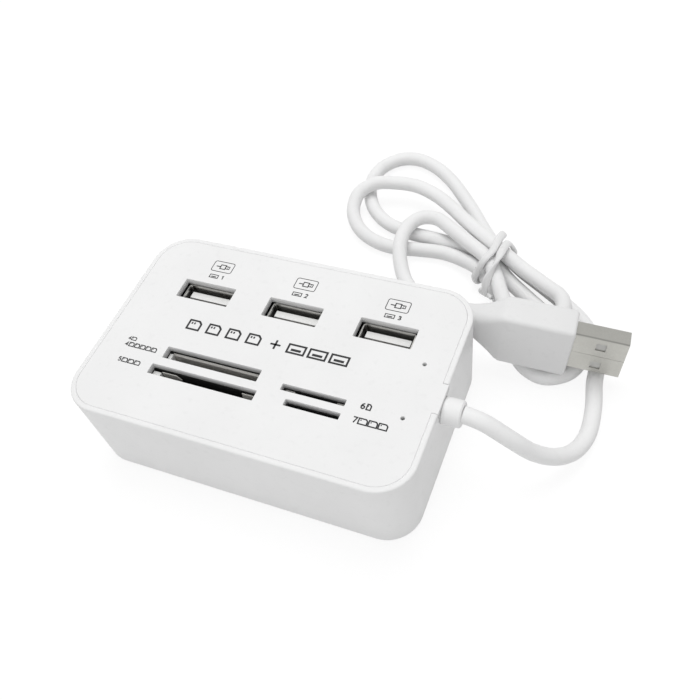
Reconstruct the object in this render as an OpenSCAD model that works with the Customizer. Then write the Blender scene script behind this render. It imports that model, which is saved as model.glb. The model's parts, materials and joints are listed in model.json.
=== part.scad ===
// Card reader and hub: a moulded box with upright sockets, card slots and a fixed lead

/* [Body] */
// Width of the body across the row of ports
body_w = 85; // [80:1:100]
// Depth of the body from front to back
body_d = 55.6; // [54:0.2:70]
// Height of the body above its feet
body_h = 24.5; // [22:0.5:32]
// Outer corner radius in plan
corner_r = 9; // [8:0.5:11]
// How far each side leans in from top to bottom
draft = 0.7; // [0.2:0.1:1.2]
// Thickness of the side walls
wall = 2.4; // [2:0.1:3]
// Thickness of the floor
floor_t = 2; // [1.6:0.1:3]
// Rounding of the outer edges
edge_r = 0.5; // [0.3:0.1:0.8]

/* [Cover] */
// Thickness of the inset top cover
cover_t = 1.8; // [1.6:0.1:2.4]
// Width of the rim that frames the cover
rim_w = 1.35; // [1:0.05:1.8]
// Joint gap between the cover and the rim
joint_gap = 0.12; // [0.08:0.01:0.25]
// Width of the tab that reaches over the cord gland
tab_w = 7.8; // [7.2:0.1:10]

/* [Screws and feet] */
// Distance of a screw post from the side of the body
post_in_x = 7.5; // [7:0.1:8.5]
// Distance of a screw post from the front or back of the body
post_in_y = 7.3; // [7:0.1:8.5]
// Diameter of a cover post
post_d = 5.6; // [5:0.1:6]
// Height of the floor bosses
boss_h = 3.2; // [2:0.1:5]
// Diameter of the case screw shank
screw_d = 2; // [1.6:0.1:2.5]
// Length of the case screw shank
screw_len = 11; // [8:0.5:13]
// Diameter of the case screw head
head_d = 4; // [3.4:0.1:4.4]
// Diameter of a rubber foot
foot_d = 9; // [8:0.5:9.5]
// Thickness of a rubber foot
foot_h = 0.8; // [0.5:0.1:2]

/* [Circuit board] */
// Thickness of the circuit board
board_t = 1.6; // [1:0.1:2]
// Gap between the board and the side walls
board_gap_x = 1.4; // [0.8:0.1:3]
// Gap between the board and the cover posts
board_gap_y = 0.5; // [0.3:0.1:2]
// Diameter of a board screw shank
board_screw_d = 1.8; // [1.4:0.1:2]

/* [Sockets] */
// Distance between neighbouring ports
port_pitch = 23.75; // [20:0.25:24]
// Place of the middle port across the body
port_x = 0.6; // [-1:0.1:1]
// Distance of the ports from the back of the body
port_from_back = 16.4; // [15.5:0.1:17.5]
// Width of a port opening in the cover
port_w = 14.2; // [13.4:0.1:15]
// Depth of a port opening in the cover
port_d = 5.8; // [5.2:0.1:6.4]
// Outer width of a socket shell
socket_w = 13.1; // [12.9:0.05:13.6]
// Outer depth of a socket shell
socket_d = 5.7; // [5.5:0.05:6]
// Height of a socket above the board
socket_h = 13.7; // [12:0.1:14.5]
// Gap between the sockets and the cover
socket_gap = 0.1; // [0.05:0.05:0.3]
// Thickness of the socket sheet metal
sheet_t = 0.3; // [0.25:0.05:0.4]
// Width of a socket tongue
tongue_w = 11.1; // [10.5:0.1:11.4]
// Thickness of a socket tongue
tongue_t = 1.84; // [1.6:0.02:2]
// How far a tongue tip lies below its socket rim
tongue_drop = 1.4; // [0.8:0.1:2]
// Shift of the tongues towards the back
tongue_shift = 0.75; // [0.7:0.05:0.9]

/* [Card slots] */
// Place of the wide card slots across the body
wide_x = -11.6; // [-13:0.1:-11]
// Width of the back wide slot
wide_back_w = 24.9; // [23:0.1:26]
// Depth of the back wide slot
wide_back_d = 3.3; // [3:0.1:3.4]
// Width of the front wide slot
wide_front_w = 27.5; // [26:0.1:28]
// Depth of the front wide slot
wide_front_d = 2.76; // [2.6:0.02:2.9]
// Distance between the two wide slots
wide_pitch = 5.2; // [5.1:0.1:5.5]
// Place of the small card slots across the body
small_x = 14.8; // [14.4:0.1:15.2]
// Width of the back small slot
small_back_w = 15.5; // [14:0.1:16]
// Depth of the back small slot
small_back_d = 1.57; // [1.4:0.01:1.8]
// Width of the front small slot
small_front_w = 13.2; // [12.4:0.1:14]
// Depth of the front small slot
small_front_d = 1.54; // [1.4:0.01:1.8]
// Distance between the two small slots
small_pitch = 3.6; // [3.4:0.1:4]
// Distance of the back slots from the front of the body
slots_from_front = 19.3; // [18.5:0.1:19.6]
// Wall of plastic around the card pockets
holder_wall = 1; // [0.8:0.1:1.2]
// Thickness of the spring contacts
contact_t = 0.2; // [0.15:0.05:0.25]

/* [Lights] */
// Diameter of the light holes
light_hole_d = 1.1; // [0.8:0.1:2]
// Diameter of the lamps under the holes
lamp_d = 3; // [2.4:0.1:3.4]
// Distance of the lamps from the side of the body
lamp_in_x = 6.8; // [6.4:0.1:7.4]

/* [Lead] */
// Diameter of the lead
cord_d = 4; // [3.4:0.1:4]
// Diameter of the gland barrel
gland_d = 6.2; // [5.6:0.1:6.6]
// How far the gland barrel stands out of the body
gland_out = 4.25; // [3:0.05:6]
// Distance of the gland axis below the top of the body
gland_drop = 4.2; // [4:0.1:5]
// Place of the gland from front to back
gland_y = -2.25; // [-2.5:0.05:-2]
// Diameter of the gland groove in the wall
gland_groove_d = 4.2; // [3.8:0.1:4.2]
// Diameter of an inner wire
wire_d = 1; // [0.8:0.1:1.1]
// Diameter of the coated wire of the tie
tie_d = 1.5; // [1.2:0.1:1.5]

/* [Plug] */
// Width of the plug shell
plug_w = 12; // [11.8:0.1:12.2]
// Thickness of the plug shell
plug_t = 4.5; // [4.4:0.1:4.6]
// Length of plug shell that shows
plug_len = 12.3; // [11.5:0.1:14]
// How deep the plug shell sits in its grip
plug_seat = 3; // [2:0.5:5]
// Width of the plug grip
grip_w = 15.5; // [14.5:0.1:16]
// Thickness of the plug grip
grip_t = 8.6; // [7.8:0.1:8.6]
// Length of the straight part of the grip
grip_len = 17.5; // [15:0.5:19]
// Length of the tapered end of the grip
relief_len = 12; // [10:0.5:13]
// How far the tapered end swings aside
relief_bend = 2.5; // [2.3:0.1:2.8]

/* [Hidden] */
$fn = 48;
eps = 0.01;

// Heights
z_floor = foot_h;
z_top = foot_h + body_h;
z_in = z_floor + floor_t;
z_cover = z_top - cover_t;
z_boss = z_in + boss_h;
z_socket = z_cover - socket_gap;
z_board = z_socket - socket_h;

// Plan places
core_x = body_w / 2 - corner_r;
core_y = body_d / 2 - corner_r;
post_x = body_w / 2 - post_in_x;
post_y = body_d / 2 - post_in_y;
port_y = body_d / 2 - port_from_back;
slot_y = -body_d / 2 + slots_from_front;
wide_back_y = slot_y + 0.6;
wide_front_y = wide_back_y - wide_pitch;
small_back_y = slot_y - 0.6;
small_front_y = small_back_y - small_pitch;
small_front_x = small_x + (small_back_w - small_front_w) / 2;
lamp_x = body_w / 2 - lamp_in_x;
lamp_y = [5.4, -9.2];
gland_z = z_top - gland_drop;
gland_x = body_w / 2 + gland_out;
boss_d = post_d + 0.8;
fit = 0.05;

// Circuit board and its screws
board_w = body_w - 2 * (draft + wall + board_gap_x);
board_d = 2 * (post_y - boss_d / 2 - board_gap_y);
stand_d = 5;
stand_h = z_board - board_t - z_in;
stand_x = board_w / 2 - stand_d / 2;
stand_y = board_d / 2 - stand_d / 2 - 1;

// Plug pose: the tip of the shell, then the turns of the plug that stands on its edge
plug_tip = [75.8, 30.7, 10.5];
plug_roll = -5;
plug_dip = 6;
plug_yaw = 4;
plug_total = plug_len + grip_len + relief_len;
relief_d = cord_d + 0.8;
relief_turn = atan(1.5 * relief_bend / relief_len);

// Route of the lead from the gland, through the tied loops, to the plug
cord_route = [
    [52, -2.6, 20.2], [57.5, -2.6, 16.4], [62, -1.3, 11.3], [66.6, 1.6, 6.8],
    [70.2, 6.3, 3.7], [71.9, 12.6, 2.3], [71.6, 20, 2.1], [70.4, 27, 2.1],
    [69.9, 33.4, 2.1], [67.9, 39.4, 2.1], [63.6, 45, 2.1], [57.5, 50, 2.1],
    [51, 54.3, 2.1], [45.4, 57.3, 2.8],
    [39.6, 60.9, 3.8],
    [34, 66.1, 2.9], [29.3, 72.2, 2.1], [24.8, 78, 2.1], [20.2, 83.4, 2.1],
    [15, 88.9, 2.1], [9, 93.4, 2.1], [2.4, 95.9, 2.1], [-3.6, 94.6, 2.1],
    [-7.7, 90, 2.1], [-8.8, 83.6, 2.1], [-7.1, 77.2, 2.1], [-3.4, 71.3, 2.1],
    [2.2, 67, 2.1], [9.3, 64.8, 2.1], [17, 64.1, 2.1], [24.4, 63.3, 2.1],
    [30.8, 61.2, 2.8],
    [36.8, 57.6, 3.8],
    [42.7, 52.9, 2.9], [48.8, 48.9, 2.1], [54.8, 44.6, 2.1], [60, 41, 2.1],
    [64.1, 37.4, 2.1], [65.6, 32.4, 2.1], [63.3, 27.7, 2.1], [58.2, 25.3, 2.1],
    [53, 27.3, 2.1], [49.2, 31.9, 2.1], [46, 37.6, 2.1], [43.6, 43.3, 2.1],
    [40.2, 48.4, 2.5],
    [34, 54.2, 3.8],
    [28, 57.6, 2.8], [21.6, 59.4, 2.1], [14.6, 58.9, 2.1], [7.4, 58, 2.1],
    [0.6, 59.3, 2.1], [-5.2, 62.7, 2.4], [-8.8, 67.7, 3.8], [-8.9, 73.4, 5.8],
    [-5.3, 77.8, 6.5], [0.6, 79.7, 6.3], [7.6, 79.7, 6.3], [14.4, 77.1, 6.3],
    [20.4, 73.1, 6.4], [26.3, 68.3, 6.7],
    [38.3, 59.3, 7.4],
    [45.3, 54.9, 6.8], [52.4, 51, 6.4], [57.4, 47.8, 6.3], [58.7, 42.6, 6.3],
    [55.7, 38, 6.3], [50.4, 36.8, 6.3], [45.7, 39.5, 6.3], [42.6, 44.7, 6.5],
    [39.2, 50.5, 7.2],
    [35.3, 55.8, 7.4],
    [29, 60.5, 6.9], [22.8, 64.9, 6.4], [17.4, 68, 6.3], [12.7, 67.1, 6.3],
    [10.2, 62.8, 6.3], [10.3, 56.6, 6.3], [12.1, 50.9, 5.4], [15.6, 44.9, 4.7],
    [19.8, 40.2, 6.2], [24, 36, 9.6], [28.6, 32.3, 13.2]
];

// Middle of the bundle under the tie and the way the runs go there
tie_at = [36.8, 57.6, 0];
run_way = [0.76, -0.65, 0];

// Route of the tie as [along the runs, across them, height]: short end, one wrap, tail
tie_route = [
    [-3.2, 5.6, 9.5], [-2.5, 4.5, 9.9], [-1.6, 3, 10.4], [-0.3, 1.2, 10.5], [0.9, -0.6, 10.5],
    [1.7, -2.4, 10.4], [2.1, -4.5, 9.8], [2.1, -6, 7.8], [1.8, -6.9, 5.4], [1.4, -7.3, 3.8],
    [1.3, -7.1, 2.6], [1.1, -6.7, 1.6], [0.8, -5.1, 0.85], [0.4, 0, 0.9], [0, 4.4, 0.9],
    [-0.2, 6.4, 1.7], [-0.3, 7.2, 3.7], [-0.2, 6.8, 5.3], [0.2, 5.1, 8.7], [1.2, 3.4, 10.3],
    [2.6, 1.4, 11], [3.9, -0.4, 11.4], [5, -2.2, 11.1], [5.9, -3.9, 10.4], [6.8, -5.7, 9.5],
    [7.5, -7.2, 8.1], [8.1, -8, 6.6], [8.8, -8.4, 4.7]
];

// Folded end of the tie's tail
tie_bar = [[6.6, -9, 4.6], [8.8, -8.4, 4.6], [11, -7.8, 4.6]];

// Vector helpers
function unit(v) = v / norm(v);
function spin_about_x(v, a) = [v.x, v.y * cos(a) - v.z * sin(a), v.y * sin(a) + v.z * cos(a)];
function spin_about_y(v, a) = [v.x * cos(a) + v.z * sin(a), v.y, -v.x * sin(a) + v.z * cos(a)];
function spin_about_z(v, a) = [v.x * cos(a) - v.y * sin(a), v.x * sin(a) + v.y * cos(a), v.z];
function plug_turn(v) =
    spin_about_z(spin_about_y(spin_about_x(v, plug_roll), plug_dip), plug_yaw);
function plug_point(v) = plug_tip + plug_turn(v);

// Rings of a tube that follows points, with its end directions given
function tube_direction(p, i, first, last) =
    i == 0 ? first : i == len(p) - 1 ? last : unit(p[i + 1] - p[i - 1]);
function tube_ring(c, t, r, sides, up) =
    let (s = unit(cross(t, up)), u = cross(s, t))
    [for (k = [0:sides - 1]) c + r * (cos(360 * k / sides) * s + sin(360 * k / sides) * u)];

module tube(p, r, sides, up, first, last) {
    n = len(p);
    points = [
        for (i = [0:n - 1])
            each tube_ring(p[i], tube_direction(p, i, first, last), r, sides, up)
    ];
    walls = [
        for (i = [0:n - 2], k = [0:sides - 1])
            let (a = i * sides + k, b = i * sides + (k + 1) % sides)
            each [[a, b, b + sides], [a, b + sides, a + sides]]
    ];
    caps = [
        [for (k = [sides - 1:-1:0]) k],
        [for (k = [0:sides - 1]) (n - 1) * sides + k]
    ];
    polyhedron(points, concat(walls, caps));
}

// Flat shapes
module round_rect(w, d, r) {
    square([w, d - 2 * r], center = true);
    square([w - 2 * r, d], center = true);
    for (x = [-1, 1], y = [-1, 1])
        translate([x * (w / 2 - r), y * (d / 2 - r)])
            circle(r);
}

module at_corners(x, y) {
    for (i = [-1, 1], j = [-1, 1])
        translate([i * x, j * y, 0])
            children();
}

module box_at(c, s) {
    translate(c - s / 2)
        cube(s);
}

// Housing
module drafted_block() {
    hull()
        at_corners(core_x, core_y) {
            translate([0, 0, z_floor])
                cylinder(r = corner_r - draft - edge_r, h = eps);
            translate([0, 0, z_floor + edge_r])
                cylinder(r1 = corner_r - draft, r2 = corner_r, h = body_h - 2 * edge_r);
            translate([0, 0, z_top - eps])
                cylinder(r = corner_r - edge_r, h = eps);
        }
}

module base_shell() {
    in_w = body_w - 2 * (draft + wall);
    in_d = body_d - 2 * (draft + wall);
    in_r = corner_r - draft - wall;
    color("white") {
        difference() {
            drafted_block();
            translate([0, 0, z_in])
                linear_extrude(z_top)
                    round_rect(in_w, in_d, in_r);
            translate([0, 0, z_cover])
                linear_extrude(z_top)
                    round_rect(body_w - 2 * rim_w, body_d - 2 * rim_w, corner_r - rim_w);
            box_at(
                [body_w / 2, gland_y, z_cover + cover_t],
                [2 * wall, tab_w + 2 * joint_gap, 2 * cover_t]
            );
            gland_notch();
            at_corners(post_x, post_y)
                translate([0, 0, z_floor - eps])
                    screw_clearance();
        }
        at_corners(post_x, post_y)
            translate([0, 0, z_in])
                difference() {
                    cylinder(d = boss_d, h = boss_h);
                    translate([0, 0, -floor_t - eps])
                        screw_clearance();
                }
        at_corners(stand_x, stand_y)
            translate([0, 0, z_in])
                difference() {
                    cylinder(d = stand_d, h = stand_h);
                    translate([0, 0, stand_h * 0.2])
                        cylinder(d = board_screw_d + 2 * fit, h = z_board);
                }
    }
}

module screw_clearance() {
    cylinder(d = screw_d + 0.3, h = floor_t + boss_h + 1);
    cylinder(d = head_d + 0.4, h = floor_t - 0.4 + 2 * eps);
}

module gland_notch() {
    slot = gland_groove_d + 2 * fit;
    translate([body_w / 2 - 3 * wall, gland_y, gland_z])
        rotate([0, 90, 0])
            cylinder(d = slot, h = 6 * wall);
    box_at([body_w / 2, gland_y, gland_z + gland_drop / 2], [6 * wall, slot, gland_drop]);
}

module top_cover() {
    color("whitesmoke")
        difference() {
            union() {
                translate([0, 0, z_cover])
                    linear_extrude(cover_t)
                        round_rect(
                            body_w - 2 * (rim_w + joint_gap),
                            body_d - 2 * (rim_w + joint_gap),
                            corner_r - rim_w - joint_gap
                        );
                box_at(
                    [body_w / 2 - wall / 2, gland_y, z_cover + cover_t / 2],
                    [wall, tab_w, cover_t]
                );
                at_corners(post_x, post_y)
                    translate([0, 0, z_boss])
                        cylinder(d = post_d, h = z_cover - z_boss + eps);
            }
            at_corners(post_x, post_y)
                translate([0, 0, z_boss - eps])
                    cylinder(d = screw_d + 2 * fit, h = screw_len - boss_h);
            cover_cuts();
        }
}

module cover_cuts() {
    deep = 3 * cover_t;
    for (i = [-1:1])
        box_at([port_x + i * port_pitch, port_y, z_top], [port_w, port_d, deep]);
    box_at([wide_x, wide_back_y, z_top], [wide_back_w, wide_back_d, deep]);
    box_at([wide_x, wide_front_y, z_top], [wide_front_w, wide_front_d, deep]);
    box_at([small_x, small_back_y, z_top], [small_back_w, small_back_d, deep]);
    box_at([small_front_x, small_front_y, z_top], [small_front_w, small_front_d, deep]);
    for (y = lamp_y)
        translate([lamp_x, y, z_cover - eps])
            cylinder(d = light_hole_d, h = deep);
}

module foot(i, j) {
    color("gainsboro")
        translate([i * post_x, j * post_y, 0])
            cylinder(d = foot_d, h = foot_h);
}

module case_screws() {
    head_h = 1.4;
    color("silver")
        at_corners(post_x, post_y)
            translate([0, 0, z_floor + floor_t - 0.4 - head_h])
                difference() {
                    union() {
                        cylinder(d = head_d, h = head_h);
                        cylinder(d = screw_d, h = head_h + screw_len);
                    }
                    for (a = [0, 90])
                        rotate(a)
                            box_at([0, 0, 0], [head_d * 0.55, 0.6, head_h]);
                }
}

// Circuit board and what it carries
module circuit_board() {
    color("darkgreen")
        difference() {
            translate([0, 0, z_board - board_t])
                linear_extrude(board_t)
                    round_rect(board_w, board_d, 1);
            at_corners(stand_x, stand_y)
                translate([0, 0, z_board - 2 * board_t])
                    cylinder(d = board_screw_d + 0.4, h = 4 * board_t);
            for (i = [-1:1])
                translate([port_x + i * port_pitch, port_y, z_board])
                    socket_legs(4 * board_t, 0.25);
        }
}

module board_screws() {
    head_h = 1.2;
    shank = board_t + stand_h * 0.6;
    color("silver")
        at_corners(stand_x, stand_y)
            translate([0, 0, z_board])
                difference() {
                    union() {
                        cylinder(d = board_screw_d + 1.8, h = head_h);
                        translate([0, 0, -shank])
                            cylinder(d = board_screw_d, h = shank + head_h);
                    }
                    for (a = [0, 90])
                        rotate(a)
                            box_at([0, 0, head_h], [2, 0.5, 1]);
                }
}

module socket_legs(h, gap) {
    for (i = [-1, 1])
        box_at([i * (socket_w - sheet_t) / 2, 0, 0], [sheet_t + 2 * gap, 1.5 + 2 * gap, h]);
}

// A leaf spring that is punched from a wide side and bows inwards
module socket_spring(rise) {
    bow = 0.45;
    rotate([90, 0, 90])
        linear_extrude(1.8, center = true)
            polygon([
                [0, 0], [sheet_t, 0], [sheet_t + bow, rise * 0.55], [sheet_t, rise * 0.9],
                [0, rise * 0.9], [bow, rise * 0.55]
            ]);
}

module usb_shell(i) {
    spring_z = 4.6;
    rise = 6.6;
    legs = 2 * (board_t + 1.2);
    color("silver")
        translate([port_x + i * port_pitch, port_y, z_board]) {
            difference() {
                linear_extrude(socket_h)
                    round_rect(socket_w, socket_d, 0.8);
                translate([0, 0, -eps])
                    linear_extrude(socket_h + 1)
                        round_rect(socket_w - 2 * sheet_t, socket_d - 2 * sheet_t, 0.5);
                for (x = [-1, 1])
                    box_at([x * 3, 0, spring_z + rise / 2], [2.4, 2 * socket_d, rise]);
            }
            for (x = [-1, 1], y = [-1, 1])
                translate([x * 3, 0, spring_z - eps])
                    scale([1, y, 1])
                        translate([0, -socket_d / 2, 0])
                            socket_spring(rise + eps);
            intersection() {
                socket_legs(legs, 0);
                box_at([0, 0, -legs / 2], [2 * socket_w, socket_d, legs + 2 * eps]);
            }
        }
}

// Heights of a tongue and of its contacts above the board
tongue_h = socket_h - tongue_drop;
contact_h = tongue_h - 1.2;

module usb_tongue(i) {
    block_h = 3.8;
    groove_h = contact_h + 2 * fit;
    color("white")
        translate([port_x + i * port_pitch, port_y, z_board])
            difference() {
                union() {
                    linear_extrude(block_h)
                        round_rect(
                            socket_w - 2 * (sheet_t + fit),
                            socket_d - 2 * (sheet_t + fit),
                            0.5
                        );
                    box_at(
                        [0, tongue_shift, tongue_h / 2],
                        [tongue_w, tongue_t, tongue_h]
                    );
                }
                for (x = [-3.5, -1, 1, 3.5])
                    box_at(
                        [x, tongue_shift - tongue_t / 2 - contact_t / 2 + fit, (groove_h - 1) / 2],
                        [1.2, contact_t + 4 * fit, groove_h + 1]
                    );
            }
}

module usb_contacts(i) {
    tip = contact_h;
    color("goldenrod")
        translate([port_x + i * port_pitch, port_y + tongue_shift - tongue_t / 2, z_board])
            for (x = [-3.5, -1, 1, 3.5])
                translate([x, 0, 0])
                    rotate([90, 0, 90])
                        linear_extrude(1, center = true)
                            polygon([
                                [0, 0], [0, tip], [-contact_t, tip], [-contact_t - 0.25, tip - 1.2],
                                [-contact_t - 0.25, tip - 2.2], [-contact_t, tip - 4], [-contact_t, 0]
                            ]);
}

// Card holders
holder_top = z_cover - socket_gap;
metal_top = holder_top - 0.3;
pocket_floor = 1.2;
pocket_z = z_board + pocket_floor;
wide_w = wide_front_w + 2 * holder_wall;
wide_y0 = wide_front_y - wide_front_d / 2 - holder_wall;
wide_y1 = wide_back_y + wide_back_d / 2 + holder_wall;
wide_left = wide_x - wide_back_w / 2;
back_post_w = 0.9;
front_post_w = 2;
front_left = wide_x - wide_front_w / 2;
front_right = wide_x + wide_front_w / 2;

module wide_card_holder() {
    h = holder_top - z_board;
    color("dimgray")
        difference() {
            box_at(
                [wide_x, (wide_y0 + wide_y1) / 2, z_board + h / 2],
                [wide_w, wide_y1 - wide_y0, h]
            );
            box_at([wide_x, wide_back_y, pocket_z + h], [wide_back_w, wide_back_d, 2 * h]);
            box_at(
                [wide_x, wide_front_y, pocket_z + h],
                [wide_front_w, wide_front_d - 0.1, 2 * h]
            );
            post_foot(fit);
        }
}

// A sheet that lines the back wall of the back pocket, with a lip that leads a card in
module wide_card_shield() {
    back = wide_back_y + wide_back_d / 2 - fit;
    face = back - sheet_t - 0.1;
    left = wide_left + 0.65;
    lip_z = metal_top - 0.2;
    color("tan")
        translate([left, 0, 0])
            rotate([90, 0, 90])
                linear_extrude(wide_back_w - 0.65 - 2 * fit)
                    polygon([
                        [face, pocket_z], [face + sheet_t, pocket_z],
                        [face + sheet_t, lip_z - 0.52], [back, lip_z - 0.42],
                        [back, lip_z], [face, lip_z - 0.4]
                    ]);
}

// A white moulding with a post at the left end of each wide pocket
module wide_card_posts() {
    color("white") {
        post_foot(0);
        box_at(
            [wide_left + fit + back_post_w / 2, wide_back_y + 0.35, (pocket_z + metal_top) / 2],
            [back_post_w, 1.5, metal_top - pocket_z + 2 * eps]
        );
        box_at(
            [front_left + fit + front_post_w / 2, wide_front_y + 0.15, (pocket_z + metal_top) / 2],
            [front_post_w, 1.1, metal_top - pocket_z + 2 * eps]
        );
    }
}

// The foot joins the two posts under the pockets, also where one pocket is wider
module post_foot(gap) {
    x0 = min(front_left, wide_left) + fit;
    x1 = max(front_left + front_post_w, wide_left + back_post_w) + fit + 0.5;
    y0 = wide_front_y - 0.4;
    y1 = wide_back_y + 1.3;
    z0 = z_board + fit - 4 * gap;
    z1 = pocket_z + gap;
    box_at(
        [(x0 + x1) / 2, (y0 + y1) / 2, (z0 + z1) / 2],
        [x1 - x0 + 2 * gap, y1 - y0 + 2 * gap, z1 - z0]
    );
}

// Fingers of the wide pockets: height, reach and pitches
finger_h = 6;
finger_reach = 0.4;
front_pitch = 2.5;
back_pitch = 1.8;

module contact_finger(h, reach) {
    rotate([90, 0, 90])
        linear_extrude(0.9, center = true)
            polygon([
                [0, 0], [contact_t, 0], [contact_t + reach, h * 0.8], [contact_t, h],
                [0, h], [reach, h * 0.8]
            ]);
}

module wide_card_contacts() {
    color("goldenrod") {
        for (k = [0:8])
            translate([wide_x + front_pitch * (k - 4), wide_front_y - wide_front_d / 2 + 2 * fit, pocket_z])
                contact_finger(finger_h, finger_reach);
        for (k = [0:9])
            translate([wide_x + back_pitch * (k - 4.5), wide_back_y - wide_back_d / 2 + fit, pocket_z])
                contact_finger(finger_h, finger_reach);
    }
}

// Two springs of sheet at the ends of the front pocket that feel a card
module card_switches() {
    face = wide_front_y + 0.8;
    h = metal_top - pocket_z;
    color("silver") {
        translate([front_left + 2.15, face + contact_t, pocket_z])
            rotate([90, 0, 0])
                linear_extrude(contact_t)
                    polygon([[0, 0], [3.4, 0], [4.9, h - 1.5], [5, h - 1.1], [3.9, h], [0, h]]);
        translate([front_right - 4.1, 0, pocket_z])
            rotate([90, 0, 90])
                linear_extrude(2.9)
                    polygon([
                        [face, 0], [face + contact_t, 0], [face - 0.4 + contact_t, h - 2.2],
                        [face + contact_t, h], [face, h], [face - 0.4, h - 2.2]
                    ]);
    }
}

small_w = small_back_w + 2 * holder_wall + 1;
small_y0 = small_front_y - small_front_d / 2 - holder_wall;
small_y1 = small_back_y + small_back_d / 2 + holder_wall;
small_pocket_w = small_back_w - 0.4;
small_pocket_d = small_back_d - 0.1;

module small_card_holder() {
    h = holder_top - z_board;
    color("dimgray")
        difference() {
            box_at(
                [small_x, (small_y0 + small_y1) / 2, z_board + h / 2],
                [small_w, small_y1 - small_y0, h]
            );
            box_at([small_x, small_back_y, pocket_z + h], [small_pocket_w, small_pocket_d, 2 * h]);
            box_at(
                [small_front_x, small_front_y, pocket_z + h],
                [small_front_w - 0.8, small_front_d - 0.1, 2 * h]
            );
        }
}

// Sheet tabs on the back wall of the back pocket
module small_card_guides() {
    y = small_back_y + small_pocket_d / 2 - fit - contact_t / 2;
    h = metal_top - pocket_z;
    left_w = 2.3;
    right_w = 1.7;
    color("silver") {
        box_at(
            [small_x - small_pocket_w / 2 + 0.15 + left_w / 2, y, pocket_z + h / 2],
            [left_w, contact_t, h]
        );
        box_at(
            [small_x + small_pocket_w / 2 - 0.65 - right_w / 2, y, pocket_z + h / 2],
            [right_w, contact_t, h]
        );
    }
}

module small_card_contacts() {
    color("goldenrod") {
        for (k = [0:7])
            translate([
                small_front_x + 1.1 * (k - 3.5),
                small_front_y - small_front_d / 2 + 0.1,
                pocket_z
            ])
                scale([0.75, 1, 1])
                    contact_finger(5, 0.3);
        for (k = [0:9])
            translate([small_x + 1.2 * (k - 4.5), small_back_y - small_back_d / 2 + 0.1, pocket_z])
                scale([0.75, 1, 1])
                    contact_finger(5, 0.3);
    }
}

// Parts on the board
module chip(w, d, h, legs, pitch, four_sides) {
    stand = 0.15;
    box_at([0, 0, stand + h / 2], [w, d, h]);
    for (side = [0:four_sides ? 3 : 1])
        rotate(side * (four_sides ? 90 : 180))
            for (k = [0:legs - 1])
                translate([(k - (legs - 1) / 2) * pitch, -d / 2, 0]) {
                    box_at([0, -0.75, 0.1], [pitch * 0.4, 0.7, 0.2]);
                    box_at([0, -0.5, 0.4], [pitch * 0.4, 0.2, 0.8]);
                    box_at([0, -0.2, 0.7], [pitch * 0.4, 0.6, 0.2]);
                }
}

chip_y = (port_y - socket_d / 2 + wide_y1) / 2 + 0.4;
hub_body = [10, 4, 1.7];
hub_legs = 14;
hub_pitch = 0.65;
reader_body = [7, 7, 1.4];
reader_legs = 12;
reader_pitch = 0.5;
crystal_base = [11, 4.6, 0.5];
crystal_can = [10, 3.6, 3.5];
can_d = 4;
can_h = 5.4;
can_base = can_d + 0.4;
can_in = 9.25;

module hub_chip() {
    color("black")
        translate([wide_x - 3, chip_y, z_board])
            chip(hub_body.x, hub_body.y, hub_body.z, hub_legs, hub_pitch, false);
}

module reader_chip() {
    color("black")
        translate([small_x, chip_y, z_board])
            chip(reader_body.x, reader_body.y, reader_body.z, reader_legs, reader_pitch, true);
}

module crystal() {
    color("silver")
        translate([(wide_x + small_x) / 2, chip_y, z_board]) {
            linear_extrude(crystal_base.z)
                round_rect(crystal_base.x, crystal_base.y, crystal_base.y / 2 - 0.1);
            linear_extrude(crystal_can.z)
                round_rect(crystal_can.x, crystal_can.y, crystal_can.y / 2 - 0.05);
        }
}

module capacitors() {
    color("silver")
        for (side = [-1, 1])
            translate([side * (board_w / 2 - can_in), chip_y, z_board]) {
                linear_extrude(can_base * 0.18)
                    round_rect(can_base, can_base, 0.4);
                cylinder(d = can_d, h = can_h);
            }
}

module chip_resistors() {
    color("tan")
        for (k = [0:5])
            box_at(
                [small_x + 6 + 1.3 * (k % 2), chip_y + 2.4 * (floor(k / 2) - 1), z_board + 0.25],
                [0.8, 1.6, 0.5]
            );
}

module lamps() {
    color("lightgreen")
        for (y = lamp_y)
            translate([lamp_x, y, z_board]) {
                lamp_z = z_cover - z_board - 5.2;
                for (i = [-1, 1])
                    box_at([0, i * 1.27, (lamp_z + eps) / 2], [0.5, 0.5, lamp_z + eps]);
                translate([0, 0, lamp_z]) {
                    cylinder(d = lamp_d + 0.8, h = 1);
                    cylinder(d = lamp_d, h = 3.6);
                    translate([0, 0, 3.6])
                        sphere(d = lamp_d);
                }
            }
}

// Lead, tie and plug
module cord_gland() {
    groove_x = body_w / 2 - draft - wall;
    flange = gland_groove_d + 2.2;
    color("white")
        translate([0, gland_y, gland_z])
            rotate([0, 90, 0]) {
                translate([0, 0, body_w / 2 + fit])
                    cylinder(d = gland_d, h = gland_out - fit - 0.3);
                translate([0, 0, gland_x - 0.3 - eps])
                    cylinder(d1 = gland_d, d2 = gland_d - 0.6, h = 0.3 + eps);
                translate([0, 0, groove_x - fit - eps])
                    cylinder(d = gland_groove_d, h = body_w / 2 - groove_x + 2 * (fit + eps));
                intersection() {
                    translate([0, 0, groove_x - fit - 1.6])
                        cylinder(d = flange, h = 1.6);
                    box_at(
                        [flange / 2 - (gland_drop - cover_t - fit), 0, groove_x],
                        [flange, flange, 4 * wall]
                    );
                }
            }
}

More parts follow.
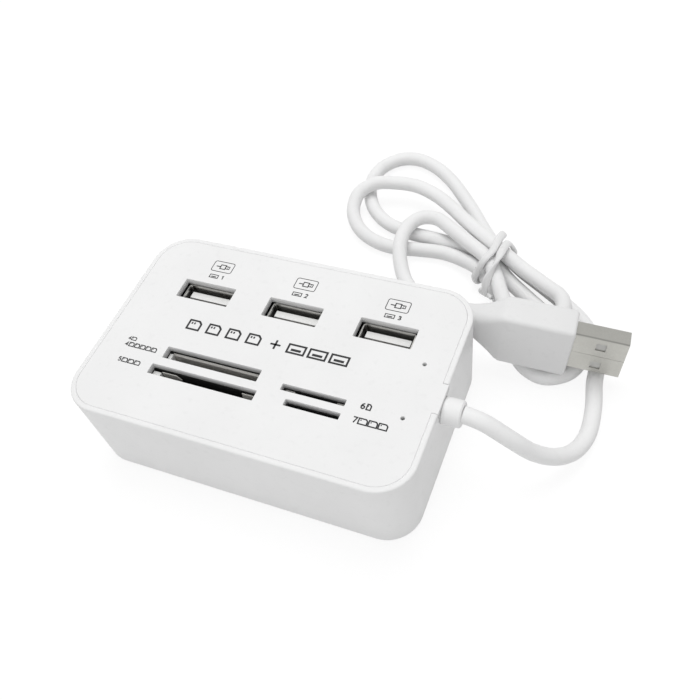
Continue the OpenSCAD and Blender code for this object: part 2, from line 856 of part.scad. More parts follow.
module inner_wires() {
    start_x = body_w / 2 - draft - wall - fit - 1.6;
    foot_x = start_x - 4;
    up = gland_z - z_board;
    for (k = [0:3]) {
        y = gland_y + 1.25 * (k - 1.5);
        color(["red", "white", "green", "black"][k])
            tube(
                [
                    [start_x, y, gland_z],
                    [start_x - 1.8, y, gland_z - 0.4],
                    [start_x - 3.2, y, gland_z - 0.15 * up],
                    [foot_x, y, gland_z - 0.4 * up],
                    [foot_x, y, gland_z - 0.75 * up],
                    [foot_x, y, z_board]
                ],
                wire_d / 2, 6, [0, 1, 0], [-1, 0, 0], [0, 0, -1]
            );
    }
}

module cord() {
    start = [gland_x, gland_y, gland_z];
    end = plug_point([-plug_total, relief_bend, 0]);
    way = plug_turn(spin_about_z([1, 0, 0], -relief_turn));
    color("white")
        tube(concat([start], cord_route, [end]), cord_d / 2, 8, [0, 0, 1], [1, 0, 0], way);
}

module cord_tie() {
    color("white") {
        tie_wire(tie_route);
        tie_wire(tie_bar);
    }
}

module tie_wire(route) {
    across = [-run_way.y, run_way.x, 0];
    p = [for (q = route) tie_at + q.x * run_way + q.y * across + [0, 0, q.z]];
    n = len(p);
    tube(p, tie_d / 2, 6, run_way, unit(p[1] - p[0]), unit(p[n - 1] - p[n - 2]));
}

module plug_place() {
    translate(plug_tip)
        rotate([plug_roll, plug_dip, plug_yaw])
            children();
}

// A slab across the axis of the plug with rounded corners; it swings aside along the taper
module grip_slab(s, w, t, r, swing = 0) {
    translate([-s, relief_bend * pow(swing, 1.5), 0])
        rotate([0, 90, -relief_turn * swing])
            linear_extrude(eps)
                round_rect(w, t, r, $fn = 32);
}

module plug_grip() {
    rear = plug_len + grip_len;
    color("white")
        plug_place()
            difference() {
                union() {
                    hull() {
                        grip_slab(plug_len + eps, grip_w - 0.8, grip_t - 0.8, 0.8);
                        grip_slab(plug_len + 0.4, grip_w, grip_t, 1.2);
                        grip_slab(rear - 0.8, grip_w, grip_t, 1.2);
                        grip_slab(rear, grip_w - 1, grip_t - 0.8, 1.2);
                    }
                    hull() {
                        grip_slab(rear, grip_w - 1, grip_t - 0.8, 1.2);
                        grip_slab(rear + relief_len * 0.3, grip_w * 0.68, grip_t * 0.8, 2.4, 0.3);
                    }
                    hull() {
                        grip_slab(rear + relief_len * 0.3, grip_w * 0.68, grip_t * 0.8, 2.4, 0.3);
                        grip_slab(rear + relief_len * 0.6, grip_w * 0.48, grip_t * 0.66, 2.4, 0.6);
                    }
                    hull() {
                        grip_slab(rear + relief_len * 0.6, grip_w * 0.48, grip_t * 0.66, 2.4, 0.6);
                        grip_slab(plug_total, relief_d, relief_d, relief_d / 2 - eps, 1);
                    }
                }
                box_at(
                    [-plug_len - plug_seat / 2 + 0.5, 0, 0],
                    [plug_seat + 1, plug_t + 2 * fit, plug_w + 2 * fit]
                );
            }
}

module plug_shell() {
    long = plug_len + plug_seat - fit;
    color("silver")
        plug_place()
            difference() {
                translate([-long, 0, 0])
                    rotate([0, 90, 0])
                        linear_extrude(long)
                            round_rect(plug_w, plug_t, 0.6);
                translate([-long - 1, 0, 0])
                    rotate([0, 90, 0])
                        linear_extrude(long + 2)
                            round_rect(plug_w - 2 * sheet_t, plug_t - 2 * sheet_t, 0.35);
                for (z = [-1, 1])
                    box_at([-5.95, 0, z * 3.15], [2.4, 2 * plug_t, 2.3]);
                box_at([-long / 2, -plug_t / 2, 0], [2 * long, 3 * sheet_t, 0.06]);
            }
}

module plug_insert() {
    slab = 1.9;
    inner_t = plug_t - 2 * (sheet_t + fit);
    inner_w = plug_w - 2 * (sheet_t + fit);
    rear = plug_len + plug_seat - fit;
    color("white")
        plug_place()
            difference() {
                union() {
                    box_at(
                        [-(rear + 0.8) / 2, -inner_t / 2 + slab / 2, 0],
                        [rear - 0.8, slab, inner_w - 0.4]
                    );
                    box_at([-rear + 1.5, 0, 0], [3, inner_t, inner_w - 0.4]);
                }
                for (z = [-3.5, -1, 1, 3.5])
                    box_at([-rear / 2, -inner_t / 2 + slab, z], [rear * 3, 2 * contact_t, 1.1]);
            }
}

module plug_contacts() {
    slab = 1.9;
    inner_t = plug_t - 2 * (sheet_t + fit);
    color("goldenrod")
        plug_place()
            for (z = [-3.5, -1, 1, 3.5]) {
                from = abs(z) > 2 ? 1.4 : 2.4;
                box_at(
                    [-(from + plug_len) / 2, -inner_t / 2 + slab - contact_t / 2, z],
                    [plug_len - from, contact_t, 1]
                );
            }
}

base_shell();
top_cover();
circuit_board();
usb_shell(-1);  // usb_shell_1
usb_shell(0);  // usb_shell_2
usb_shell(1);  // usb_shell_3
usb_tongue(-1);  // usb_tongue_1
usb_tongue(0);  // usb_tongue_2
usb_tongue(1);  // usb_tongue_3
usb_contacts(-1);  // usb_contacts_1
usb_contacts(0);  // usb_contacts_2
usb_contacts(1);  // usb_contacts_3
wide_card_holder();
wide_card_shield();
wide_card_contacts();
wide_card_posts();
card_switches();
small_card_holder();
small_card_guides();
small_card_contacts();
hub_chip();
reader_chip();
crystal();
capacitors();
chip_resistors();
lamps();
case_screws();
board_screws();
foot(-1, -1);  // foot_1
foot(1, -1);  // foot_2
foot(1, 1);  // foot_3
foot(-1, 1);  // foot_4
cord_gland();
inner_wires();
cord();
cord_tie();
plug_grip();
plug_shell();
plug_insert();
plug_contacts();
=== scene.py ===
import json
import math

import bmesh
import bpy
from mathutils import Matrix, Vector


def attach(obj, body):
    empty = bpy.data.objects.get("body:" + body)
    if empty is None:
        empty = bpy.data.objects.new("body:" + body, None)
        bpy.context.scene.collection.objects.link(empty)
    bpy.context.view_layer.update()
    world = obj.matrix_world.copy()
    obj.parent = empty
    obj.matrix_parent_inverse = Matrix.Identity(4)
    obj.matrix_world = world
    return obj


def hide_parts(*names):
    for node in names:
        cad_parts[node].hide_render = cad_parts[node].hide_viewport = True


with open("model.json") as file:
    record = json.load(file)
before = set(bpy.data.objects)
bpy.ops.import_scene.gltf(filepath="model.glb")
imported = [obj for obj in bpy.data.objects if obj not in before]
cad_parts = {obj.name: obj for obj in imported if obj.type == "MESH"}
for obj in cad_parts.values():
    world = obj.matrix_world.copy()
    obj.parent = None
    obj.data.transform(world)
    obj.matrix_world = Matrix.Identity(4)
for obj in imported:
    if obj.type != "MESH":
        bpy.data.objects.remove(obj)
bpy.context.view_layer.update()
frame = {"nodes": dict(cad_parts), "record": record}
MM = 0.001

# Camera, fitted to the photograph, in millimetres
CAMERA_AT = (77.566, -92.151, 170.559)
CAMERA_RIGHT = (0.92144, 0.36480, -0.13367)
CAMERA_UP = (-0.21738, 0.76924, 0.60085)
CAMERA_LENS = 41.82
CAMERA_NEAR = 1
SENSOR = 36

# Studio, in metres: place, size and share of full white of each lamp
STUDIO_LIGHTS = {
    "key_light": ((-0.08, 0.3, 0.88), 0.6, 0.53),
    "fill_light": ((0.1, -0.75, 0.4), 0.6, 0.2),
}
# Sky: level as a light, to the camera, and in gloss
SKY_FILL, SKY_SEEN, SKY_IN_GLOSS = 0.5, 1, 0.76
# Floor: half its size, its grey as a light, and its grey and glow as seen
FLOOR_HALF = 1.2
FLOOR_GREY, FLOOR_SEEN, FLOOR_GLOW = 0.68, 0.16, 0.87

# Body, in millimetres as in the part's source
BODY_W, BODY_D, BODY_H = 85, 55.6, 24.5
CORNER_R = 9
DRAFT = 0.7
WALL = 2.4
FLOOR_T = 2
EDGE_R = 0.5
COVER_T = 1.8
RIM_W, RIM_EDGE = 1.35, 0.05
# Joint round the cover: its clearance at the tab, and the gap that the photo shows
JOINT_GAP, JOINT_SEEN = 0.12, 0.04
TAB_W = 7.8
FOOT_H, FOOT_D = 0.8, 9
FOOT_X, FOOT_Y = 35, 20.5
Z_TOP = FOOT_H + BODY_H
Z_COVER = Z_TOP - COVER_T
Z_IN = FOOT_H + FLOOR_T
# Rolled lower edge of a foot: how far in, and how high
FOOT_EDGE = [(0.35, 0), (0.12, 0.05), (0.03, 0.16), (0, 0.3), (0, FOOT_H)]

# Openings of the cover: middle, width and depth
PORT_X, PORT_Y, PORT_PITCH = 0.6, 11.4, 23.75
PORT_W, PORT_D = 14.2, 5.8
SLOTS = {
    "wide_back": (-11.6, -7.9, 24.9, 3.3),
    "wide_front": (-11.6, -13.1, 27.5, 2.76),
    "small_back": (14.8, -9.1, 15.5, 1.72),
    "small_front": (15.95, -12.7, 13.2, 1.72),
}
PORT_CORNER, SLOT_CORNER, OPENING_EDGE = 0.25, 0.2, 0.06
LAMP_X, LAMP_YS, LAMP_HOLE_R = 35.7, (5.4, -9.2), 0.5

# Lead and plug
GLAND_X, GLAND_Y, GLAND_Z = 46.75, -2.25, 21.1
GLAND_GROOVE_D = 4.3
CORD_D = 4
PLUG_TIP = (75.8, 30.7, 10.5)
PLUG_ROLL, PLUG_DIP, PLUG_YAW = -5, 6, 4
PLUG_LEN, GRIP_LEN, RELIEF_LEN = 12.3, 17.5, 12
GRIP_REAR = PLUG_LEN + GRIP_LEN
PLUG_TOTAL = GRIP_REAR + RELIEF_LEN
GRIP_W, GRIP_T = 15.5, 8.6
PLUG_W, PLUG_T = 12, 4.5
RELIEF_D = 4.8
# The relief swings sideways by RELIEF_BEND, with the power of its length
RELIEF_BEND, RELIEF_POWER = 2.5, 1.5
RELIEF_TURN = math.degrees(math.atan(RELIEF_POWER * RELIEF_BEND / RELIEF_LEN))

# Grip: distance behind the plug's tip, width, thickness and corner radius
GRIP_STATIONS = [
    (PLUG_LEN, GRIP_W - 1.4, GRIP_T - 1.4, 0.6),
    (PLUG_LEN + 0.12, GRIP_W - 0.7, GRIP_T - 0.7, 0.9),
    (PLUG_LEN + 0.4, GRIP_W - 0.2, GRIP_T - 0.2, 1.1),
    (PLUG_LEN + 0.8, GRIP_W, GRIP_T, 1.2),
    (GRIP_REAR - 1.2, GRIP_W, GRIP_T, 1.2),
    (GRIP_REAR - 0.2, GRIP_W - 0.6, GRIP_T - 0.4, 1.4),
    (GRIP_REAR + 1.2, GRIP_W - 2.4, GRIP_T - 1, 1.9),
    (GRIP_REAR + RELIEF_LEN * 0.3, GRIP_W * 0.68, GRIP_T * 0.8, 2.4),
    (GRIP_REAR + RELIEF_LEN * 0.6, GRIP_W * 0.48, GRIP_T * 0.66, 2.4),
    (GRIP_REAR + RELIEF_LEN * 0.85, RELIEF_D + 0.9, RELIEF_D + 0.3, 2.4),
    (PLUG_TOTAL - 0.25, RELIEF_D, RELIEF_D, 2.38),
    (PLUG_TOTAL, RELIEF_D - 0.4, RELIEF_D - 0.4, 2.19),
]
# Where the grip's mesh has a ring, before the even rings of the taper
GRIP_RINGS = [
    PLUG_LEN, PLUG_LEN + 0.12, PLUG_LEN + 0.4, PLUG_LEN + 0.8, PLUG_LEN + 6, PLUG_LEN + 12,
    GRIP_REAR - 1.2, GRIP_REAR - 0.7,
]
TAPER_START, TAPER_END, TAPER_STEPS = GRIP_REAR - 0.2, PLUG_TOTAL - 0.25, 14

# Route of the lead from the gland to the plug
CORD_ROUTE = [
    (48.4, -2.3, 21), (52, -2.6, 20.2), (57.5, -2.6, 16.4), (62, -1.3, 11.3), (66.6, 1.6, 6.8),
    (70.2, 6.3, 3.7), (71.9, 12.6, 2.3), (71.6, 20, 2.1), (70.4, 27, 2.1),
    (69.9, 33.4, 2.1), (67.9, 39.4, 2.1), (63.6, 45, 2.1), (57.5, 50, 2.1),
    (51, 54.3, 2.1), (45.4, 57.3, 2.8),
    (39.6, 60.9, 3.8),
    (34, 66.1, 2.9), (29.3, 72.2, 2.1), (24.8, 78, 2.1), (20.2, 83.4, 2.1),
    (15, 88.9, 2.1), (9, 93.4, 2.1), (2.4, 95.85, 2.1), (-3.6, 94.6, 2.1),
    (-7.7, 90, 2.1), (-8.8, 83.6, 2.1), (-7.1, 77.2, 2.1), (-3.4, 71.3, 2.1),
    (2.2, 67, 2.1), (9.3, 64.8, 2.1), (17, 64.1, 2.1), (24.4, 63.3, 2.1),
    (30.8, 61.2, 2.8),
    (36.8, 57.6, 3.8),
    (42.7, 52.9, 2.9), (48.8, 48.9, 2.1), (54.8, 44.6, 2.1), (60, 41, 2.1),
    (64.1, 37.4, 2.1), (65.6, 32.4, 2.1), (63.3, 27.7, 2.1), (58.2, 25.3, 2.1),
    (53, 27.3, 2.1), (49.2, 31.9, 2.1), (46, 37.6, 2.1), (43.6, 43.3, 2.1),
    (40.2, 48.4, 2.5),
    (34, 54.2, 3.8),
    (28, 57.6, 2.8), (21.6, 59.4, 2.1), (14.6, 58.9, 2.1), (7.4, 58, 2.1),
    (0.6, 59.3, 2.1), (-5.2, 62.7, 2.4), (-8.8, 67.7, 3.8), (-8.9, 73.4, 5.8),
    (-5.3, 77.8, 6.5), (0.6, 79.7, 6.3), (7.6, 79.7, 6.3), (14.4, 77.1, 6.3),
    (20.4, 73.1, 6.4), (26.3, 68.3, 6.7),
    (38.3, 59.3, 7.4),
    (45.3, 54.9, 6.8), (52.4, 51, 6.4), (57.4, 47.8, 6.3), (58.7, 42.6, 6.3),
    (55.7, 38, 6.3), (50.4, 36.8, 6.3), (45.7, 39.5, 6.3), (42.6, 44.7, 6.5),
    (39.2, 50.5, 7.2),
    (35.3, 55.8, 7.4),
    (29, 60.5, 6.9), (22.8, 64.9, 6.4), (17.4, 68, 6.3), (12.7, 67.1, 6.3),
    (10.2, 62.8, 6.3), (10.3, 56.6, 6.3), (12.1, 50.9, 5.4), (15.6, 44.9, 4.7),
    (19.8, 40.2, 6.2), (24, 36, 9.6), (28.6, 32.3, 13.2),
]

# Tie: middle of the bundle, way of the runs, then (along, across, height)
TIE_AT = Vector((36.8, 57.6, 0))
RUN_WAY = Vector((0.76, -0.65, 0))
TIE_ROUTE = [
    (-3.2, 5.6, 9.5), (-2.5, 4.5, 9.9), (-1.6, 3, 10.4), (-0.3, 1.2, 10.5), (0.9, -0.6, 10.5),
    (1.7, -2.4, 10.4), (2.1, -4.5, 9.8), (2.1, -6, 7.8), (1.8, -6.9, 5.4), (1.4, -7.3, 3.8),
    (1.3, -7.1, 2.6), (1.1, -6.7, 1.6), (0.8, -5.1, 0.85), (0.4, 0, 0.9), (0, 4.4, 0.9),
    (-0.2, 6.4, 1.7), (-0.3, 7.2, 3.7), (-0.2, 6.8, 5.3), (0.2, 5.1, 8.7), (1.2, 3.4, 10.3),
    (2.6, 1.4, 11), (3.9, -0.4, 11.4), (5, -2.2, 11.1), (5.9, -3.9, 10.4), (6.8, -5.7, 9.5),
    (7.5, -7.2, 8.1), (8.1, -8, 6.6), (8.8, -8.4, 4.7),
]
TIE_BAR = [(6.6, -9, 4.6), (8.8, -8.4, 4.6), (11, -7.8, 4.6)]
# Section of the tie, how deep it lies in the runs, and how much of it the ends keep
TIE_HALF_W, TIE_HALF_T = 1.1, 0.6
TIE_SINK, TIE_END = 0.15, 0.75
BUNDLE_Z = 5
# Share of the length where a wire starts to twist, and its twist in degrees
TAIL_FROM, TAIL_TWIST = 0.78, 200
BAR_FROM, BAR_TWIST = 0.5, 60

# Fineness of the meshes: steps in a quarter turn, sides of what is round, and
# steps between two points of a route
EDGE_STEPS, CORNER_STEPS, GRIP_STEPS, SMALL_STEPS, ROLL_STEPS = 6, 16, 8, 4, 2
HOLE_SIDES, CORD_SIDES, TIE_SIDES = 32, 20, 14
CORD_STEPS, TIE_STEPS, BAR_STEPS = 8, 5, 6
# Points nearer than WELD become one after a cut; HAIR keeps those of a full round apart
WELD, HAIR = 0.003, 0.001
# Greatest angle in degrees over which faces are shaded as one
SMOOTH, SMOOTH_TIE, SMOOTH_GRIP, SMOOTH_INK = 40, 60, 50, 20

# Print on the cover: wordless marks, in millimetres
INK_T = 0.02
ICON_PLACES = [(-22.8, 20.2), (0.4, 20.2), (24.5, 19.7)]
ICON_W, ICON_H, ICON_CORNER, ICON_INK = 5.6, 3.3, 0.5, 0.19
# Below the frame: left end, foot, width, height and stroke of the small port
# and of the numeral
ICON_PORT = (-2.1, -3.9, 2.3, 1, 0.22)
ICON_DIGIT = (1.2, -3.9, 1.05, 0.26)
# Plug in the frame: points, stroke, and whether the line is closed
PLUG_MARK = [
    ([(-1.9, 0), (-0.7, 0)], 0.28, False),
    ([(-0.7, -0.65), (0.7, -0.65), (0.7, 0.65), (-0.7, 0.65)], 0.26, True),
    ([(0.7, -0.42), (1.8, -0.42), (1.8, 0.42), (0.7, 0.42)], 0.2, True),
    ([(1.15, -0.2), (1.45, -0.2)], 0.16, False),
    ([(1.15, 0.2), (1.45, 0.2)], 0.16, False),
]
# Title strip: its ends, foot and height, the stroke, and its places: the cards
# come first, then the plus, then the ports
STRIP_X0, STRIP_X1, STRIP_Y0, STRIP_H, STRIP_INK = -23.1, 19.9, -0.3, 3.1, 0.5
STRIP_PLACES, STRIP_CARDS, PLUS_PLACE, FIRST_PORT = 8, 4, 4.5, 5
# Card and port in a place of the strip: left end, foot, width, and what the
# height is short of the strip's
STRIP_CARD = (0.5, 0.25, 3.2, 0.5)
STRIP_PORT = (0.3, 0.35, 4.2, 0.8)
PLUS_X, PLUS_REACH = -0.3, 1.3
# Card mark as shares of its size: clipped corner, contacts, and their stroke
CARD_CLIP = 0.28
CONTACT_X, CONTACT_STEP, CONTACT_LOW, CONTACT_HIGH = 0.24, 0.22, 0.58, 0.8
CONTACT_INK = 0.8
# Port mark as shares of its size: ends and height of the tongue, and its stroke
TONGUE_X0, TONGUE_X1, TONGUE_Y, TONGUE_INK = 0.2, 0.8, 0.38, 1.3
# Labels: stroke by height and what is added, room of the numeral, gap after a card
LABEL_INK, LABEL_INK_MORE, LABEL_DIGIT_W, LABEL_GAP = 0.17, 0.08, 0.95, 0.35
# Least cosine by which a stroke is widened at a corner
MITRE_LEAST = 0.5
LABELS = [
    # left end, right end, foot, height, numeral, cards
    (-35, -32.6, -7, 0.85, "4", 1),
    (-34.9, -26, -8.8, 1.05, "4", 5),
    (-34.2, -28, -13.3, 1.05, "5", 3),
    (26.1, 28.7, -9.4, 1.4, "6", 1),
    (25.6, 33.8, -13.2, 1.4, "7", 3),
]
DIGITS = {
    "1": [(0.08, 0.76), (0.35, 1), (0.35, 0)],
    "2": [(0, 0.8), (0.15, 0.98), (0.44, 0.98), (0.58, 0.8), (0.53, 0.58), (0, 0), (0.62, 0)],
    "3": [
        (0, 0.88), (0.2, 1), (0.48, 0.94), (0.55, 0.74), (0.4, 0.56), (0.22, 0.52),
        (0.42, 0.48), (0.6, 0.28), (0.5, 0.06), (0.22, 0), (0, 0.12),
    ],
    "4": [(0.46, 0), (0.46, 1), (0, 0.3), (0.64, 0.3)],
    "5": [
        (0.56, 1), (0.1, 1), (0.05, 0.58), (0.34, 0.62), (0.58, 0.44), (0.54, 0.14),
        (0.3, 0), (0, 0.1),
    ],
    "6": [
        (0.5, 0.97), (0.2, 0.8), (0.03, 0.42), (0.1, 0.1), (0.33, 0), (0.56, 0.14),
        (0.56, 0.42), (0.32, 0.56), (0.07, 0.42),
    ],
    "7": [(0, 1), (0.62, 1), (0.22, 0)],
}

# Painted shade: the tone of the cover deep in an opening, of the port shells
# below their rim, and of the long corners of the plug's folded shell
SHADE_LOW = 0.6
RIM_SHADE = 0.33
FOLD_Y, FOLD_Z, FOLD_SOFT, FOLD_SHADE = PLUG_T / 2 - 0.3, PLUG_W / 2 - 0.28, 0.12, 0.6

# Detail of plastic: size of the patches, and their tones and spans
FLOW_SIZE, FLOW_STRETCH, FLOW_TONES, FLOW_SPAN = 14, (1, 1, 0.4), (0.985, 1.01), (0.35, 0.65)
SPECK_SIZE, SPECK_TONES, SPECK_SPAN = 1.6, (0.97, 1), (0.28, 0.42)
GLOSS_SIZE = 3
GRAIN_STRENGTH = 0.35
PLASTIC_SPECULAR = 0.4
# Detail of metal: drawing lines and handling marks
LINE_SIZE, LINE_TONES, LINE_STRENGTH, LINE_RELIEF = 0.9, (0.9, 1.05), 0.2, 0.01
MARK_SIZE, MARK_SPAN = 2.2, (0.35, 0.65)

# Looks by slot: colour, span of the roughness, and what differs from the usual
WHITE = (0.86, 0.86, 0.86)
LOOKS = {
    "shell_plastic": dict(color=WHITE, rough=(0.3, 0.42)),
    # shade: painted shade, the cover darkens deep in its openings
    "cover_plastic": dict(
        color=WHITE, rough=(0.42, 0.55), grain=0.2, relief=0.008, shade=(Z_COVER, Z_TOP - 0.3)
    ),
    "board": dict(color=(0.02, 0.16, 0.06), rough=(0.3, 0.4)),
    # shade: painted shade, the port shells darken below their rim
    "socket_metal": dict(
        color=(0.85, 0.84, 0.81), rough=(0.3, 0.42), shade=(Z_COVER - 0.9, Z_COVER - 0.2)
    ),
    # painted shade along the long corners of the shell
    "plug_metal": dict(
        color=(0.55, 0.545, 0.51), rough=(0.34, 0.46), stretch=(1, 20, 20), painted_fold_shade=True
    ),
    "tongue_plastic": dict(color=(0.92, 0.92, 0.91)),
    "contact_gold": dict(color=(0.75, 0.5, 0.18)),
    "holder_plastic": dict(color=(0.03, 0.03, 0.03), rough=(0.4, 0.55)),
    "shield_metal": dict(color=(0.92, 0.9, 0.86), rough=(0.4, 0.5), metallic=0.15),
    "chip_black": dict(color=(0.02, 0.02, 0.022), rough=(0.5, 0.6)),
    "can_metal": dict(color=(0.7, 0.7, 0.71)),
    "resistor": dict(color=(0.12, 0.08, 0.05)),
    "lamp_lens": dict(color=(0.6, 0.68, 0.6), rough=(0.1, 0.2)),
    "screw_steel": dict(color=(0.5, 0.5, 0.5)),
    "foot_rubber": dict(color=(0.55, 0.55, 0.54), rough=(0.7, 0.85), grain=0.3, relief=0.02),
    "gland_plastic": dict(color=(0.87, 0.87, 0.87), rough=(0.4, 0.5)),
    "wire_sleeve": dict(color=(0.45, 0.03, 0.02), rough=(0.25, 0.35)),
    "cord_jacket": dict(color=(0.88, 0.88, 0.88), rough=(0.42, 0.55), grain=0.3, relief=0.01),
    # the insert's grey is painted shade, seen through the windows of the plug
    "insert_plastic": dict(color=(0.55, 0.55, 0.53)),
    "tie_jacket": dict(color=(0.82, 0.82, 0.82), rough=(0.2, 0.3)),
    "grip_plastic": dict(color=(0.8, 0.8, 0.8), rough=(0.38, 0.5), grain=0.22, relief=0.01),
    "print_ink": dict(
        color=(0.035, 0.035, 0.037), rough=(0.5, 0.65), grain=0.15, relief=0.004
    ),
}
METALS = {
    "socket_metal", "plug_metal", "contact_gold", "shield_metal", "can_metal", "screw_steel",
}


# Materials -------------------------------------------------------------------

def opaque(color):
    """Colour with full alpha, from a grey level or from three values."""
    return (color,) * 3 + (1,) if isinstance(color, (int, float)) else (*color, 1)


def tint(color, share):
    """Colour times share, at most full."""
    return tuple(min(1, c * share) for c in color)


class Graph:
    """Short calls to build one material out of nodes."""

    def __init__(self, name):
        self.material = bpy.data.materials.new(name)
        self.material.use_nodes = True
        self.tree = self.material.node_tree
        self.tree.nodes.clear()
        self.output = self.tree.nodes.new("ShaderNodeOutputMaterial")
        self.coords = self.tree.nodes.new("ShaderNodeTexCoord").outputs["Object"]

    def node(self, kind, links=None, values=None, **settings):
        """Adds a node, links outputs into its inputs and sets its other values."""
        node = self.tree.nodes.new("ShaderNode" + kind)
        for key, value in settings.items():
            setattr(node, key, value)
        for key, value in (values or {}).items():
            node.inputs[key].default_value = value
        for key, output in (links or {}).items():
            self.tree.links.new(output, node.inputs[key])
        return node

    def noise(self, size, detail=2, stretch=(1, 1, 1)):
        """Noise whose patches are about size millimetres across."""
        mapping = self.node("Mapping", {"Vector": self.coords}, {"Scale": stretch})
        return self.node(
            "TexNoise",
            {"Vector": mapping.outputs["Vector"]},
            {"Scale": 1 / (size * MM), "Detail": detail},
        ).outputs["Fac"]

    def ramp(self, fac, low, high, span=(0.3, 0.7)):
        """Colour or grey between low and high as fac crosses the span."""
        ramp = self.node("ValToRGB", {"Fac": fac})
        for element, at, value in zip(ramp.color_ramp.elements, span, (low, high)):
            element.position = at
            element.color = opaque(value)
        return ramp.outputs["Color"]

    def multiply(self, first, second):
        """Product of two colours."""
        node = self.node("VectorMath", {0: first, 1: second}, operation="MULTIPLY")
        return node.outputs["Vector"]

    def rise(self, value, low, high):
        """0 where value is below low and 1 where it is above high, in millimetres."""
        span = {"From Min": low * MM, "From Max": high * MM}
        return self.node("MapRange", {"Value": value}, span).outputs["Result"]

    def height(self, low, high):
        """0 below the height low and 1 above the height high, in millimetres."""
        axes = self.node("SeparateXYZ", {"Vector": self.coords})
        return self.rise(axes.outputs["Z"], low, high)

    def corners(self, place, y, z):
        """1 near the long corners of a tube that lies along the X axis of place."""
        local = self.node(
            "Mapping",
            {"Vector": self.coords},
            {"Location": place.translation * MM, "Rotation": place.to_euler()},
            vector_type="TEXTURE",
        )
        axes = self.node("SeparateXYZ", {"Vector": local.outputs["Vector"]})
        shares = []
        for axis, edge in (("Y", y), ("Z", z)):
            size = self.node("Math", {0: axes.outputs[axis]}, operation="ABSOLUTE")
            shares.append(self.rise(size.outputs[0], edge - FOLD_SOFT, edge + FOLD_SOFT))
        return self.node("Math", {0: shares[0], 1: shares[1]}, operation="MINIMUM").outputs[0]

    def bump(self, height, strength, distance):
        """Normal for a relief that is distance millimetres high."""
        return self.node(
            "Bump", {"Height": height}, {"Strength": strength, "Distance": distance * MM}
        ).outputs["Normal"]

    def shader(self, color, roughness, normal, **values):
        """Material with a Principled shader from colour, roughness and normal outputs."""
        links = {"Base Color": color, "Roughness": roughness, "Normal": normal}
        shader = self.node("BsdfPrincipled", links, values)
        self.tree.links.new(shader.outputs["BSDF"], self.output.inputs["Surface"])
        return self.material


def plastic(name, color, rough=(0.34, 0.46), grain=0.25, relief=0.006, shade=None):
    """Moulded plastic: faint flow marks, uneven gloss and a spark-eroded grain.

    grain and relief are the size and height of the grain. shade gives the
    heights, in millimetres, between which painted shade fades out: the colour
    is darker deep in an opening, where shade falls, and full above.
    """
    g = Graph(name)
    low, high = (tint(color, tone) for tone in FLOW_TONES)
    base = g.ramp(g.noise(FLOW_SIZE, 3, FLOW_STRETCH), low, high, FLOW_SPAN)
    base = g.multiply(base, g.ramp(g.noise(SPECK_SIZE, 4), *SPECK_TONES, SPECK_SPAN))
    if shade:
        # painted shade deep in an opening
        base = g.multiply(base, g.ramp(g.height(*shade), SHADE_LOW, 1, (0, 1)))
    gloss = g.ramp(g.noise(GLOSS_SIZE, 3), *rough)
    normal = g.bump(g.noise(grain), GRAIN_STRENGTH, relief)
    return g.shader(base, gloss, normal, **{"Specular IOR Level": PLASTIC_SPECULAR})


def brushed_metal(
    name, color, rough=(0.24, 0.4), stretch=(1, 1, 30), shade=None, painted_fold_shade=False, metallic=1.0
):
    """Rolled and plated sheet with fine drawing lines and faint handling marks.

    shade gives the heights between which painted shade fades out, from the
    darker inside of a port up to its rim. The flag for the folds paints shade
    along the long corners of the plug.
    """
    g = Graph(name)
    lines = g.noise(LINE_SIZE, 3, stretch)
    base = g.ramp(lines, *(tint(color, tone) for tone in LINE_TONES))
    # painted shade inside a port, below its rim
    if shade:
        base = g.multiply(base, g.ramp(g.height(*shade), RIM_SHADE, 1, (0, 1)))
    # painted shade along the long corners of the plug's shell
    if painted_fold_shade:
        corners = g.corners(plug_matrix(), FOLD_Y, FOLD_Z)
        base = g.multiply(base, g.ramp(corners, 1, FOLD_SHADE, (0, 1)))
    gloss = g.ramp(g.noise(MARK_SIZE, 4), *rough, MARK_SPAN)
    normal = g.bump(lines, LINE_STRENGTH, LINE_RELIEF)
    return g.shader(base, gloss, normal, Metallic=metallic)


def make_materials():
    """One material for each slot of the record, the plug's insert and the ink."""
    made = {}
    for name, look in LOOKS.items():
        made[name] = (brushed_metal if name in METALS else plastic)(name, **look)
    return made


# Small tools -----------------------------------------------------------------

def dress_nodes(materials):
    """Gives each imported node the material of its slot, and the plug's insert its own."""
    for part in frame["record"]["subparts"]:
        node = frame["nodes"][part["node"]]
        for slot in node.material_slots:
            slot.material = materials[part["material_slot"]]
    # the insert gets a grey that paints the shade behind the plug's windows
    for slot in frame["nodes"]["plug_insert"].material_slots:
        slot.material = materials["insert_plastic"]


def linked(name, data):
    """New object in the scene."""
    piece = bpy.data.objects.new(name, data)
    bpy.context.scene.collection.objects.link(piece)
    return piece


def add_object(name, data, material, smooth=SMOOTH):
    """Links a mesh or curve as a piece that rides on the part."""
    piece = linked(name, data)
    data.materials.append(material)
    if isinstance(data, bpy.types.Mesh):
        data.shade_smooth()
        data.set_sharp_from_angle(angle=math.radians(smooth))
    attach(piece, "root")
    return piece


def baked_mesh(piece):
    """The mesh that an object has after its modifiers or as a curve."""
    graph = bpy.context.evaluated_depsgraph_get()
    return bpy.data.meshes.new_from_object(piece.evaluated_get(graph))


def finished_mesh(bm, name):
    """Mesh of a finished bmesh, which is freed."""
    mesh = bpy.data.meshes.new(name)
    bm.to_mesh(mesh)
    bm.free()
    return mesh


def rounded_ring(w, d, r, z, steps=CORNER_STEPS):
    """Points of a rounded rectangle at height z, anticlockwise."""
    ring = []
    for quarter, (sx, sy) in enumerate(((1, 1), (-1, 1), (-1, -1), (1, -1))):
        for k in range(steps + 1):
            a = math.radians(90 * (quarter + k / steps))
            x = sx * (w / 2 - r) + r * math.cos(a)
            y = sy * (d / 2 - r) + r * math.sin(a)
            ring.append(Vector((x, y, z)))
    return ring


